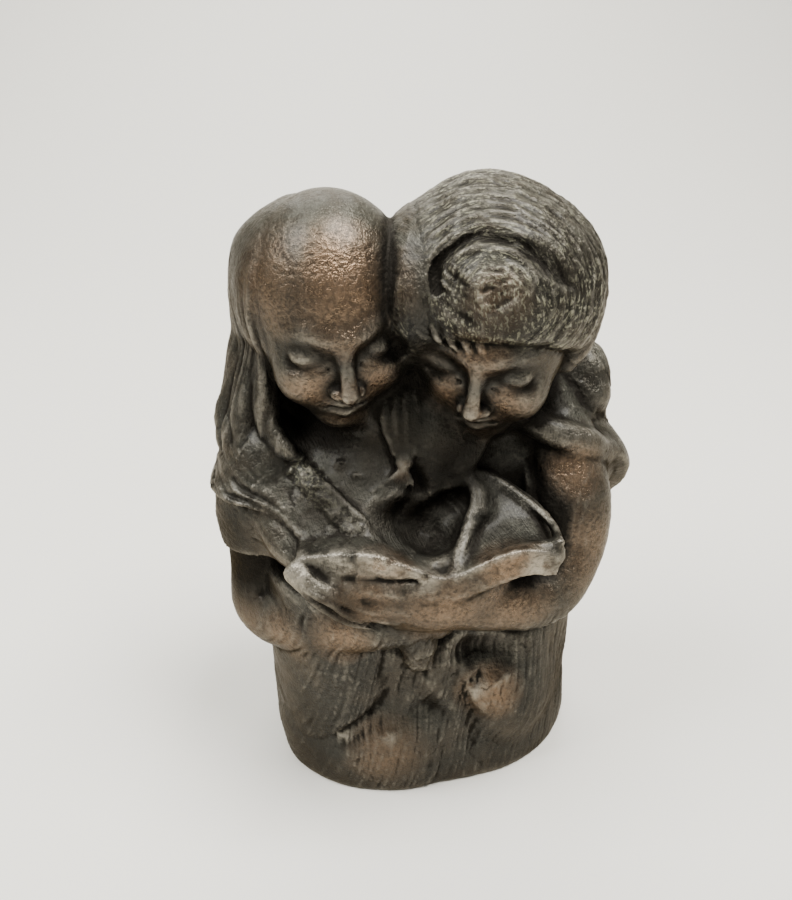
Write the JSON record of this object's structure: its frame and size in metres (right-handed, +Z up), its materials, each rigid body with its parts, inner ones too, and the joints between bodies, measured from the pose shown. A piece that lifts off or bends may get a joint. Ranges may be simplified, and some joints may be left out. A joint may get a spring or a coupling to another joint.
{
  "type": "bronze statuette of two children reading",
  "caption": "Small cast bronze group of a long-haired and a short-haired child, side by side, bent over one open book, standing on a round flat underside.",
  "frame": {"origin": "middle of the flat underside", "axes": "+Z up, the children face -Y, the long-haired child on the -X side"},
  "size_m": [0.1036, 0.0717, 0.1525],
  "materials": {
    "dark_bronze": "dark brown patinated bronze, rubbed warm on the high places, pale in the strokes of the short hair"
  },
  "bodies": {
    "root": {"reading_children": "dark_bronze"}
  },
  "joints": []
}
